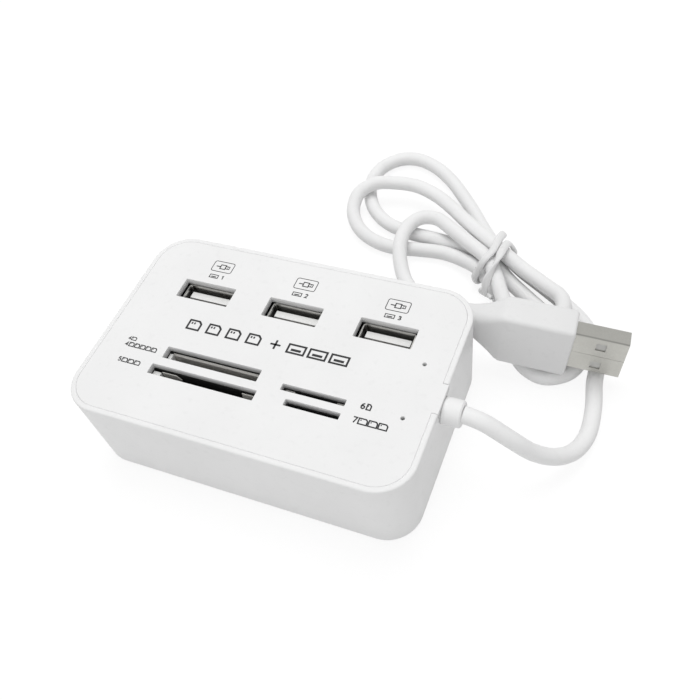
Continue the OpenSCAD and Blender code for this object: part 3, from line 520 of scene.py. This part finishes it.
def loft(rings, place=Matrix.Identity(4)):
    """Closed mesh through rings of equal length, capped at both ends."""
    bm = bmesh.new()
    rows = [[bm.verts.new(place @ p * MM) for p in ring] for ring in rings]
    count = len(rows[0])
    for low, high in zip(rows[:-1], rows[1:]):
        for k in range(count):
            j = (k + 1) % count
            bm.faces.new((low[k], low[j], high[j], high[k]))
    bm.faces.new(rows[0][::-1])
    bm.faces.new(rows[-1])
    bmesh.ops.recalc_face_normals(bm, faces=bm.faces)
    return finished_mesh(bm, "loft")


def box_mesh(center, size):
    """Plain box in millimetres, used as a cutter."""
    bm = bmesh.new()
    grow = Matrix.Diagonal((*(s * MM for s in size), 1))
    bmesh.ops.create_cube(bm, size=1, matrix=Matrix.Translation(Vector(center) * MM) @ grow)
    return finished_mesh(bm, "box")


def weld(mesh):
    """Joins points that lie within WELD of each other, so that no sliver is left."""
    bm = bmesh.new()
    bm.from_mesh(mesh)
    bmesh.ops.remove_doubles(bm, verts=bm.verts, dist=WELD * MM)
    bmesh.ops.dissolve_degenerate(bm, edges=bm.edges, dist=WELD * MM)
    bm.to_mesh(mesh)
    bm.free()


def cut(mesh, cutters, operation="DIFFERENCE"):
    """Mesh after an exact boolean with each cutter mesh, with no slivers left."""
    body = linked("cut_body", mesh)
    for cutter in cutters:
        tool = linked("cut_tool", cutter)
        modifier = body.modifiers.new("cut", "BOOLEAN")
        modifier.operation = operation
        modifier.solver = "EXACT"
        modifier.object = tool
        body.data = baked_mesh(body)
        body.modifiers.clear()
        bpy.data.objects.remove(tool)
    result = body.data
    bpy.data.objects.remove(body)
    weld(result)
    return result


def smooth_curve(name, points, diameter):
    """Round tube on one open spline that passes through the points."""
    curve = bpy.data.curves.new(name, "CURVE")
    curve.dimensions = "3D"
    curve.bevel_depth = diameter / 2 * MM
    curve.bevel_resolution = CORD_SIDES // 2 - 2
    curve.resolution_u = CORD_STEPS
    curve.use_fill_caps = True
    spline = curve.splines.new("BEZIER")
    spline.bezier_points.add(len(points) - 1)
    for i, point in enumerate(points):
        before = points[max(i - 1, 0)]
        after = points[min(i + 1, len(points) - 1)]
        reach = (Vector(after) - Vector(before)) / 6
        knot = spline.bezier_points[i]
        knot.handle_left_type = knot.handle_right_type = "FREE"
        knot.co = Vector(point) * MM
        knot.handle_left = (Vector(point) - reach) * MM
        knot.handle_right = (Vector(point) + reach) * MM
    return curve


# Camera, stage and light -----------------------------------------------------

def make_camera():
    """Camera of the photograph."""
    data = bpy.data.cameras.new("camera")
    data.lens = CAMERA_LENS
    data.sensor_width = SENSOR
    data.clip_start = CAMERA_NEAR * MM
    camera = linked("camera", data)
    right, up = Vector(CAMERA_RIGHT), Vector(CAMERA_UP)
    turn = Matrix((right, up, right.cross(up))).transposed().to_4x4()
    camera.matrix_world = Matrix.Translation(Vector(CAMERA_AT) * MM) @ turn
    bpy.context.scene.camera = camera


def seen_directly(tree):
    """1 for rays from the camera, in gloss and through glass, otherwise 0."""
    path = tree.nodes.new("ShaderNodeLightPath")
    total = path.outputs["Is Camera Ray"]
    for name in ("Is Glossy Ray", "Is Transmission Ray"):
        add = tree.nodes.new("ShaderNodeMath")
        add.operation = "MAXIMUM"
        tree.links.new(total, add.inputs[0])
        tree.links.new(path.outputs[name], add.inputs[1])
        total = add.outputs[0]
    return total


def make_world():
    """White sky that is dimmer as a light, and a little dimmer in gloss."""
    world = bpy.data.worlds.new("studio")
    bpy.context.scene.world = world
    world.use_nodes = True
    tree = world.node_tree
    tree.nodes.clear()
    output = tree.nodes.new("ShaderNodeOutputWorld")
    mix = tree.nodes.new("ShaderNodeMixShader")
    light = tree.nodes.new("ShaderNodeBackground")
    light.inputs["Color"].default_value = opaque(1)
    light.inputs["Strength"].default_value = SKY_FILL
    seen = tree.nodes.new("ShaderNodeBackground")
    seen.inputs["Color"].default_value = opaque(1)
    path = tree.nodes.new("ShaderNodeLightPath")
    level = tree.nodes.new("ShaderNodeMapRange")
    level.inputs["To Min"].default_value = SKY_IN_GLOSS
    level.inputs["To Max"].default_value = SKY_SEEN
    tree.links.new(path.outputs["Is Camera Ray"], level.inputs["Value"])
    tree.links.new(level.outputs["Result"], seen.inputs["Strength"])
    tree.links.new(seen_directly(tree), mix.inputs["Fac"])
    tree.links.new(light.outputs[0], mix.inputs[1])
    tree.links.new(seen.outputs[0], mix.inputs[2])
    tree.links.new(mix.outputs[0], output.inputs["Surface"])


def floor_material():
    """Plain grey as a light, and nearly white with a faint shadow as seen."""
    g = Graph("floor_white")
    plain = g.node("BsdfDiffuse", values={"Color": opaque(FLOOR_GREY)})
    faint = g.node("BsdfDiffuse", values={"Color": opaque(FLOOR_SEEN)})
    glow = g.node("Emission", values={"Color": opaque(1), "Strength": FLOOR_GLOW})
    bright = g.node("AddShader", {0: faint.outputs[0], 1: glow.outputs[0]})
    mix = g.node(
        "MixShader", {0: seen_directly(g.tree), 1: plain.outputs[0], 2: bright.outputs[0]}
    )
    g.tree.links.new(mix.outputs[0], g.output.inputs["Surface"])
    return g.material


def make_floor():
    """White floor that keeps a faint shadow."""
    bm = bmesh.new()
    bmesh.ops.create_grid(bm, x_segments=1, y_segments=1, size=FLOOR_HALF)
    mesh = finished_mesh(bm, "floor")
    mesh.materials.append(floor_material())
    floor = linked("floor", mesh)


def area_light(name, at, size, level):
    """Soft square lamp aimed at the body; level is the share of full white that it gives."""
    data = bpy.data.lights.new(name, "AREA")
    data.shape = "SQUARE"
    data.size = size
    data.energy = level * (math.pi * Vector(at).length) ** 2
    lamp = linked(name, data)
    lamp.location = at
    lamp.rotation_euler = Vector(at).to_track_quat("Z", "Y").to_euler()
    lamp.visible_glossy = False


def make_studio():
    """Plain studio: sky, floor and two soft lamps."""
    bpy.context.scene.view_settings.view_transform = "Standard"
    make_world()
    make_floor()
    for name, lamp in STUDIO_LIGHTS.items():
        area_light(name, *lamp)


# Housing ---------------------------------------------------------------------

def inset_ring(inset, z):
    """Body outline moved in by inset."""
    return rounded_ring(BODY_W - 2 * inset, BODY_D - 2 * inset, CORNER_R - inset, z)


def body_profile():
    """(inset, height) pairs from the foot over the rim and down to the inside floor."""
    turns = [math.radians(90 * k / EDGE_STEPS) for k in range(EDGE_STEPS + 1)]
    pairs = [
        (DRAFT + EDGE_R * (1 - math.sin(a)), FOOT_H + EDGE_R * (1 - math.cos(a))) for a in turns
    ]
    pairs += [(EDGE_R * (1 - math.cos(a)), Z_TOP - EDGE_R * (1 - math.sin(a))) for a in turns]
    inner = DRAFT + WALL
    return pairs + [
        (RIM_W - RIM_EDGE, Z_TOP), (RIM_W, Z_TOP - RIM_EDGE), (RIM_W, Z_COVER),
        (inner, Z_COVER), (inner, Z_IN),
    ]


def tab_cutter():
    """Notch in the rim for the tab of the cover."""
    size = (2 * WALL, TAB_W + 2 * JOINT_GAP, 2 * COVER_T)
    return box_mesh((BODY_W / 2, GLAND_Y, Z_TOP), size)


def gland_cutters():
    """Groove that opens upwards, and the bore at its foot."""
    ring, length = GLAND_GROOVE_D, 6 * WALL
    groove = box_mesh((BODY_W / 2, GLAND_Y, GLAND_Z + ring / 2), (length, ring, ring))
    start = Matrix.Translation(Vector((BODY_W / 2 - length / 2, GLAND_Y, GLAND_Z)))
    rings = [rounded_ring(ring, ring, ring / 2 - HAIR, z) for z in (0, length)]
    return [groove, loft(rings, start @ Matrix.Rotation(math.radians(90), 4, "Y"))]


def make_body(materials):
    """Moulded box with its rim, and the notch for the tab and the gland."""
    mesh = loft([inset_ring(inset, z) for inset, z in body_profile()])
    mesh = cut(mesh, [tab_cutter(), *gland_cutters()])
    piece = add_object("body_shell", mesh, materials["shell_plastic"])
    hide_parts("base_shell")


def flat_outline(curve, points):
    """Adds one closed outline, in millimetres, to a filled flat curve."""
    spline = curve.splines.new("POLY")
    spline.points.add(len(points) - 1)
    for knot, point in zip(spline.points, points):
        knot.co = (point[0] * MM, point[1] * MM, 0, 1)
    spline.use_cyclic_u = True


def flat_curve(name, thickness, bevel):
    """Filled flat curve whose solid is thickness deep, with rolled edges."""
    curve = bpy.data.curves.new(name, "CURVE")
    curve.dimensions = "2D"
    curve.fill_mode = "BOTH"
    curve.extrude = (thickness / 2 - bevel) * MM
    curve.bevel_depth = bevel * MM
    curve.bevel_resolution = ROLL_STEPS
    curve.offset = -bevel * MM
    return curve


def rectangle(x, y, w, d, r):
    """Outline of a rectangle with rounded corners."""
    return [p + Vector((x, y, 0)) for p in rounded_ring(w, d, r, 0, SMALL_STEPS)]


def circle(x, y, r):
    """Outline of a round hole."""
    return [
        Vector((x + r * math.cos(t), y + r * math.sin(t), 0))
        for t in (2 * math.pi * k / HOLE_SIDES for k in range(HOLE_SIDES))
    ]


def cover_outline():
    """Outline of the cover with the tab that reaches over the gland."""
    inset = RIM_W + JOINT_SEEN
    y0, y1 = GLAND_Y - TAB_W / 2, GLAND_Y + TAB_W / 2
    edge = BODY_W / 2 - inset
    tab = [(edge, y0), (BODY_W / 2, y0), (BODY_W / 2, y1), (edge, y1)]
    return [tuple(p)[:2] for p in inset_ring(inset, 0)] + tab


def make_cover(materials):
    """Inset cover with crisp openings."""
    thickness = COVER_T - INK_T
    curve = flat_curve("top_plate", thickness, OPENING_EDGE)
    flat_outline(curve, cover_outline())
    for i in (-1, 0, 1):
        port = rectangle(PORT_X + i * PORT_PITCH, PORT_Y, PORT_W, PORT_D, PORT_CORNER)
        flat_outline(curve, port)
    for slot in SLOTS.values():
        flat_outline(curve, rectangle(*slot, SLOT_CORNER))
    for y in LAMP_YS:
        flat_outline(curve, circle(LAMP_X, y, LAMP_HOLE_R))
    maker = linked("plate_maker", curve)
    mesh = baked_mesh(maker)
    bpy.data.objects.remove(maker)
    mesh.transform(Matrix.Translation((0, 0, (Z_COVER + thickness / 2) * MM)))
    mesh.materials.clear()
    piece = add_object("top_plate", mesh, materials["cover_plastic"])
    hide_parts("top_cover")


def make_feet(materials):
    """Rubber discs with a rolled lower edge."""
    sizes = [(FOOT_D - 2 * inset, z) for inset, z in FOOT_EDGE]
    rings = [rounded_ring(size, size, size / 2 - HAIR, z) for size, z in sizes]
    for k, (i, j) in enumerate(((-1, -1), (1, -1), (1, 1), (-1, 1)), start=1):
        mesh = loft(rings, Matrix.Translation((i * FOOT_X, j * FOOT_Y, 0)))
        piece = add_object("rubber_foot_%d" % k, mesh, materials["foot_rubber"])
        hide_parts("foot_%d" % k)


# Print -----------------------------------------------------------------------

def stroke(bm, points, width, closed=False):
    """Flat stroke of ink through points, given in millimetres."""
    points = [Vector(p) for p in points]
    count = len(points)
    rows = []
    for i, p in enumerate(points):
        before = points[i - 1] if i or closed else p
        after = points[(i + 1) % count] if i < count - 1 or closed else p
        ways = [w.normalized() for w in (p - before, after - p) if w.length > 0]
        way = sum(ways, Vector((0, 0))).normalized()
        reach = width / 2 / max(MITRE_LEAST, way.dot(ways[0]))
        side = Vector((-way.y, way.x)) * reach
        corners = [(p + side, Z_TOP), (p - side, Z_TOP)]
        corners += [(p - side, Z_TOP - 2 * INK_T), (p + side, Z_TOP - 2 * INK_T)]
        rows.append([bm.verts.new(Vector((*q, z)) * MM) for q, z in corners])
    pairs = list(zip(rows[:-1], rows[1:])) + ([(rows[-1], rows[0])] if closed else [])
    for low, high in pairs:
        for k in range(4):
            j = (k + 1) % 4
            bm.faces.new((low[k], low[j], high[j], high[k]))
    if not closed:
        bm.faces.new(rows[0][::-1])
        bm.faces.new(rows[-1])


def digit(bm, name, x, y, height, width):
    """A plain numeral whose lower left corner is at x, y."""
    stroke(bm, [(x + px * height, y + py * height) for px, py in DIGITS[name]], width)


def card_mark(bm, x, y, w, h, width, bars):
    """Outline of a card with a clipped corner and a few contacts."""
    clip = CARD_CLIP * h
    right, top = x + w, y + h
    outline = [(x, y), (right, y), (right, top - clip), (right - clip, top), (x, top)]
    stroke(bm, outline, width, True)
    for k in range(bars):
        bx = x + w * (CONTACT_X + CONTACT_STEP * k)
        bar = [(bx, y + CONTACT_LOW * h), (bx, y + CONTACT_HIGH * h)]
        stroke(bm, bar, width * CONTACT_INK)


def port_mark(bm, x, y, w, h, width):
    """Outline of a port with its tongue."""
    stroke(bm, [(x, y), (x + w, y), (x + w, y + h), (x, y + h)], width, True)
    tongue = [(x + share * w, y + TONGUE_Y * h) for share in (TONGUE_X0, TONGUE_X1)]
    stroke(bm, tongue, width * TONGUE_INK)


def shifted(points, x, y):
    """Flat points moved by x, y."""
    return [(x + px, y + py) for px, py in points]


def framed_mark(bm, x, y, name):
    """Round-cornered frame with a plug, and a small port and numeral below."""
    ring = rounded_ring(ICON_W, ICON_H, ICON_CORNER, 0, SMALL_STEPS)
    stroke(bm, shifted([tuple(p)[:2] for p in ring], x, y), ICON_INK, True)
    for points, width, closed in PLUG_MARK:
        stroke(bm, shifted(points, x, y), width, closed)
    left, foot, *port = ICON_PORT
    port_mark(bm, x + left, y + foot, *port)
    left, foot, *numeral = ICON_DIGIT
    digit(bm, name, x + left, y + foot, *numeral)


def title_strip(bm):
    """Bold row of four cards, a plus and three ports."""
    pitch = (STRIP_X1 - STRIP_X0) / STRIP_PLACES
    left, foot, w, short = STRIP_CARD
    for k in range(STRIP_CARDS):
        x = STRIP_X0 + k * pitch + left
        card_mark(bm, x, STRIP_Y0 + foot, w, STRIP_H - short, STRIP_INK, 2)
    cx, cy = STRIP_X0 + PLUS_PLACE * pitch + PLUS_X, STRIP_Y0 + STRIP_H / 2
    stroke(bm, [(cx - PLUS_REACH, cy), (cx + PLUS_REACH, cy)], STRIP_INK)
    stroke(bm, [(cx, cy - PLUS_REACH), (cx, cy + PLUS_REACH)], STRIP_INK)
    left, foot, w, short = STRIP_PORT
    for k in range(FIRST_PORT, STRIP_PLACES):
        x = STRIP_X0 + k * pitch + left
        port_mark(bm, x, STRIP_Y0 + foot, w, STRIP_H - short, STRIP_INK)


def label(bm, x0, x1, y, height, name, cards):
    """A numeral and a row of small cards that fills the width."""
    width = LABEL_INK * height + LABEL_INK_MORE
    digit(bm, name, x0, y, height, width)
    start = x0 + LABEL_DIGIT_W * height
    pitch = (x1 - start) / cards
    for k in range(cards):
        card_mark(bm, start + k * pitch, y, pitch - LABEL_GAP, height, width, 1)


def make_print(materials):
    """All ink marks on the cover in one mesh."""
    bm = bmesh.new()
    for (x, y), name in zip(ICON_PLACES, "123"):
        framed_mark(bm, x, y, name)
    title_strip(bm)
    for row in LABELS:
        label(bm, *row)
    bmesh.ops.recalc_face_normals(bm, faces=bm.faces)
    mesh = finished_mesh(bm, "ink_marks")
    add_object("ink_marks", mesh, materials["print_ink"], smooth=SMOOTH_INK)


# Lead, tie and plug ----------------------------------------------------------

def plug_matrix():
    """Place of the plug: its shell's tip at the origin, its length along -X."""
    turn = Matrix.Identity(4)
    for degrees, axis in ((PLUG_YAW, "Z"), (PLUG_DIP, "Y"), (PLUG_ROLL, "X")):
        turn = turn @ Matrix.Rotation(math.radians(degrees), 4, axis)
    return Matrix.Translation(Vector(PLUG_TIP)) @ turn


def tie_points(route):
    """Points of the tie's route in millimetres."""
    across = Vector((-RUN_WAY.y, RUN_WAY.x, 0))
    return [TIE_AT + a * RUN_WAY + b * across + Vector((0, 0, z)) for a, b, z in route]


def through(points, steps):
    """Points of a smooth line through the given ones, by the Catmull-Rom rule."""
    line = []
    for i in range(len(points) - 1):
        p0, p1 = points[max(i - 1, 0)], points[i]
        p2, p3 = points[i + 1], points[min(i + 2, len(points) - 1)]
        for k in range(steps):
            t = k / steps
            line.append(
                p1 + 0.5 * t * (p2 - p0)
                + t * t * (p0 - 2.5 * p1 + 2 * p2 - 0.5 * p3)
                + 0.5 * t ** 3 * (3 * p1 - p0 - 3 * p2 + p3)
            )
    return line + [points[-1]]


def flat_wire(line, twist_from, twist):
    """Mesh of a flattened wire whose wide side lies on the bundle, twisted near its end."""
    rings = []
    last = len(line) - 1
    for i, p in enumerate(line):
        way = (line[min(i + 1, last)] - line[max(i - 1, 0)]).normalized()
        axis_point = TIE_AT + (p - TIE_AT).dot(RUN_WAY) * RUN_WAY
        out = p - Vector((axis_point.x, axis_point.y, BUNDLE_Z))
        out = (out - out.dot(way) * way).normalized()
        side = way.cross(out)
        share = max(0, i / last - twist_from) / (1 - twist_from)
        turn = Matrix.Rotation(math.radians(twist * share), 3, way)
        out, side = turn @ out, turn @ side
        end = TIE_END if i in (0, last) else 1
        c = p - TIE_SINK * out
        rings.append([
            c + end * (TIE_HALF_W * math.cos(a) * side + TIE_HALF_T * math.sin(a) * out)
            for a in (2 * math.pi * k / TIE_SIDES for k in range(TIE_SIDES))
        ])
    return loft(rings)


def make_tie(materials):
    """Flattened wire with a twisted tail that ends in a folded bar."""
    wire = flat_wire(through(tie_points(TIE_ROUTE), TIE_STEPS), TAIL_FROM, TAIL_TWIST)
    bar = flat_wire(through(tie_points(TIE_BAR), BAR_STEPS), BAR_FROM, BAR_TWIST)
    mesh = cut(wire, [bar], "UNION")
    piece = add_object("wire_tie", mesh, materials["tie_jacket"], SMOOTH_TIE)
    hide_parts("cord_tie")
    return piece


def grip_section(s):
    """(width, thickness, corner radius) of the grip, s behind the tip."""
    for (s0, *low), (s1, *high) in zip(GRIP_STATIONS[:-1], GRIP_STATIONS[1:]):
        if s <= s1:
            share = (s - s0) / (s1 - s0)
            return [a + (b - a) * share for a, b in zip(low, high)]
    return GRIP_STATIONS[-1][1:]


def grip_ring(s):
    """Ring of the grip's mesh, s behind the tip, with the swing of the relief."""
    w, t, r = grip_section(s)
    swing = max(0, s - PLUG_LEN - GRIP_LEN) / RELIEF_LEN
    place = Matrix.Translation((-s, RELIEF_BEND * swing ** RELIEF_POWER, 0))
    place = place @ Matrix.Rotation(math.radians(-RELIEF_TURN * swing), 4, "Z")
    return [place @ Vector((0, p.x, p.y)) for p in rounded_ring(t, w, r, 0, GRIP_STEPS)]


def make_grip(materials):
    """Moulded grip that tapers into the lead."""
    step = (TAPER_END - TAPER_START) / TAPER_STEPS
    taper = [TAPER_START + step * k for k in range(TAPER_STEPS + 1)]
    mesh = loft([grip_ring(s) for s in (*GRIP_RINGS, *taper, PLUG_TOTAL)], plug_matrix())
    piece = add_object("grip", mesh, materials["grip_plastic"], SMOOTH_GRIP)
    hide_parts("plug_grip")
    return piece


def make_lead(materials):
    """The lead on one smooth curve, with what is on it."""
    end = plug_matrix() @ Vector((-PLUG_TOTAL, RELIEF_BEND, 0))
    gland = (GLAND_X, GLAND_Y, GLAND_Z)
    curve = smooth_curve("lead", [gland, *CORD_ROUTE, tuple(end)], CORD_D)
    lead = add_object("lead", curve, materials["cord_jacket"])
    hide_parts("cord")
    tie = make_tie(materials)
    grip = make_grip(materials)


make_camera()
materials = make_materials()
dress_nodes(materials)
make_lead(materials)
make_body(materials)
make_cover(materials)
make_feet(materials)
make_print(materials)
make_studio()
